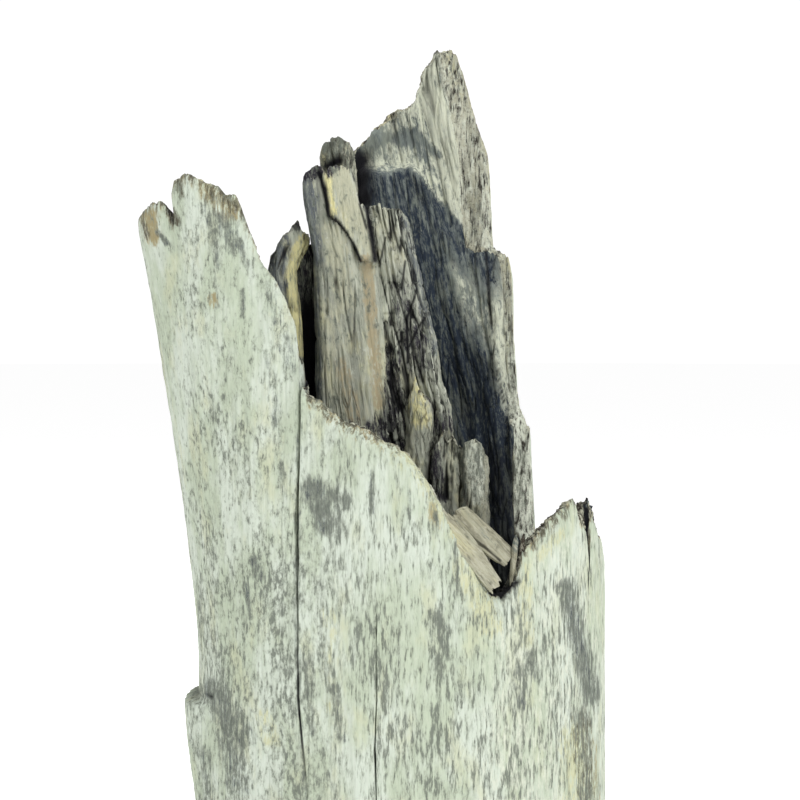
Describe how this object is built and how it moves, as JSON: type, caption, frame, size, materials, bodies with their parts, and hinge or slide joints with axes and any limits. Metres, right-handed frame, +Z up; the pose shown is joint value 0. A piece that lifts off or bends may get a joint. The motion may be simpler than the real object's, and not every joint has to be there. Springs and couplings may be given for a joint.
{
  "type": "tree trunk",
  "caption": "Hollow, barkless, weathered tree trunk, broken off jagged at the top and sawn flat at the foot.",
  "frame": {"origin": "centre of the flat sawn foot, on the trunk's axis", "axes": "+Z up the trunk; the low broken side faces -Y and the tall plank of the wall leans out towards -X"},
  "size_m": [0.4655, 0.4073, 0.883],
  "materials": {
    "weathered_wood": "bleached, dry and matt"
  },
  "bodies": {
    "root": {"tree_trunk": "weathered_wood"}
  },
  "joints": []
}
